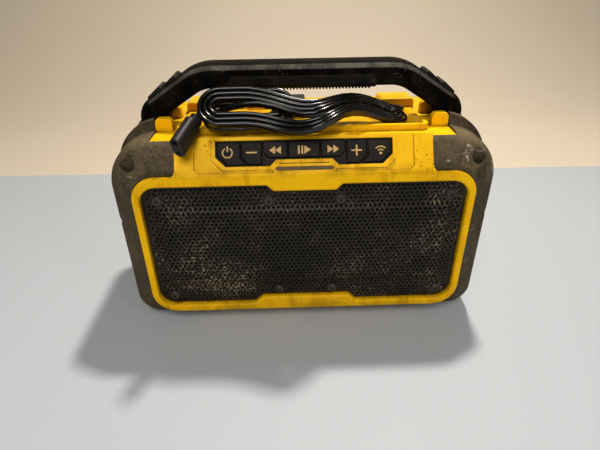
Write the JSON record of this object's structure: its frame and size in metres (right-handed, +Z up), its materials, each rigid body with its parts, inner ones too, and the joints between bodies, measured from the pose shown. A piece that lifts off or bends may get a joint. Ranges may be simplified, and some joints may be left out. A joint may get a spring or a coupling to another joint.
{
  "type": "portable loudspeaker",
  "caption": "Rugged jobsite loudspeaker with a carrying handle, rubber bumpers, perforated grille, sloping keypad and a wound mains lead in its top tray.",
  "frame": {"origin": "on the floor under the middle of the body", "axes": "+Z up, +X to the right seen from the front, the grille faces -Y"},
  "size_m": [0.263, 0.1283, 0.1873],
  "materials": {
    "yellow_shell": "moulded, lightly worn",
    "bumper_rubber": "matte, dusty",
    "soft_rubber": "matte",
    "black_plastic": "fine grain",
    "grille_steel": "black powder coat, dusty",
    "black_screw": "black oxide",
    "steel": "zinc plated",
    "basket_steel": "black paint",
    "magnet": "ferrite and plated steel",
    "cone_paper": "coated paper",
    "spider_cloth": "resin cloth",
    "keypad": "satin",
    "light_bar": "translucent",
    "circuit_board": "solder mask",
    "brass": "plated",
    "lead_cover": "smooth",
    "lead_ends": "moulded"
  },
  "bodies": {
    "housing": {"front_shell": "yellow_shell", "rear_shell": "yellow_shell", "left_bumper": "bumper_rubber", "right_bumper": "bumper_rubber", "left_handle_pads": "bumper_rubber", "right_handle_pads": "bumper_rubber", "feet": "soft_rubber", "handle_grip": "soft_rubber", "shell_seal": "soft_rubber", "left_surround": "soft_rubber", "right_surround": "soft_rubber", "handle_core": "black_plastic", "baffle": "black_plastic", "ac_inlet": "black_plastic", "battery_terminals": "black_plastic", "port_socket_block": "black_plastic", "grille": "grille_steel", "grille_screws": "black_screw", "handle_screws": "steel", "driver_screws": "steel", "board_screws": "steel", "door_pin": "steel", "housing_screws": "steel", "inlet_pins": "steel", "left_basket": "basket_steel", "right_basket": "basket_steel", "left_magnet": "magnet", "right_magnet": "magnet", "left_spider": "spider_cloth", "right_spider": "spider_cloth", "keypad_bezel": "keypad", "light_pipe": "light_bar", "control_board": "circuit_board", "main_board": "circuit_board", "power_supply": "circuit_board", "terminal_blades": "brass", "plug_pins": "brass", "lead_hank": "lead_cover", "lead_tail": "lead_cover", "plug_tail": "lead_cover", "lead_connector": "lead_ends", "lead_plug": "lead_ends"},
    "power_button": {"power_button": "keypad"},
    "volume_down_button": {"volume_down_button": "keypad"},
    "previous_button": {"previous_button": "keypad"},
    "play_button": {"play_button": "keypad"},
    "next_button": {"next_button": "keypad"},
    "volume_up_button": {"volume_up_button": "keypad"},
    "pairing_button": {"pairing_button": "keypad"},
    "left_cone": {"left_cone": "cone_paper"},
    "right_cone": {"right_cone": "cone_paper"},
    "port_door": {"port_door": "black_plastic"}
  },
  "joints": [
    {"name": "power_button_press", "type": "slide", "parent": "housing", "child": "power_button", "axis": [0, 0.848, -0.5299], "range_m": [0, 0.0008], "stiffness_N_per_m": 600},
    {"name": "volume_down_button_press", "type": "slide", "parent": "housing", "child": "volume_down_button", "axis": [0, 0.848, -0.5299], "range_m": [0, 0.0008], "stiffness_N_per_m": 600},
    {"name": "previous_button_press", "type": "slide", "parent": "housing", "child": "previous_button", "axis": [0, 0.848, -0.5299], "range_m": [0, 0.0008], "stiffness_N_per_m": 600},
    {"name": "play_button_press", "type": "slide", "parent": "housing", "child": "play_button", "axis": [0, 0.848, -0.5299], "range_m": [0, 0.0008], "stiffness_N_per_m": 600},
    {"name": "next_button_press", "type": "slide", "parent": "housing", "child": "next_button", "axis": [0, 0.848, -0.5299], "range_m": [0, 0.0008], "stiffness_N_per_m": 600},
    {"name": "volume_up_button_press", "type": "slide", "parent": "housing", "child": "volume_up_button", "axis": [0, 0.848, -0.5299], "range_m": [0, 0.0008], "stiffness_N_per_m": 600},
    {"name": "pairing_button_press", "type": "slide", "parent": "housing", "child": "pairing_button", "axis": [0, 0.848, -0.5299], "range_m": [0, 0.0008], "stiffness_N_per_m": 600},
    {"name": "left_cone_stroke", "type": "slide", "parent": "housing", "child": "left_cone", "axis": [0, 1, 0], "range_m": [-0.0015, 0.0015], "stiffness_N_per_m": 1500},
    {"name": "right_cone_stroke", "type": "slide", "parent": "housing", "child": "right_cone", "axis": [0, 1, 0], "range_m": [-0.0015, 0.0015], "stiffness_N_per_m": 1500},
    {"name": "port_door_hinge", "type": "hinge", "parent": "housing", "child": "port_door", "pos_m": [0.08, 0.0577, 0.0873], "axis": [-1, 0, 0], "range_deg": [0, 90]}
  ]
}
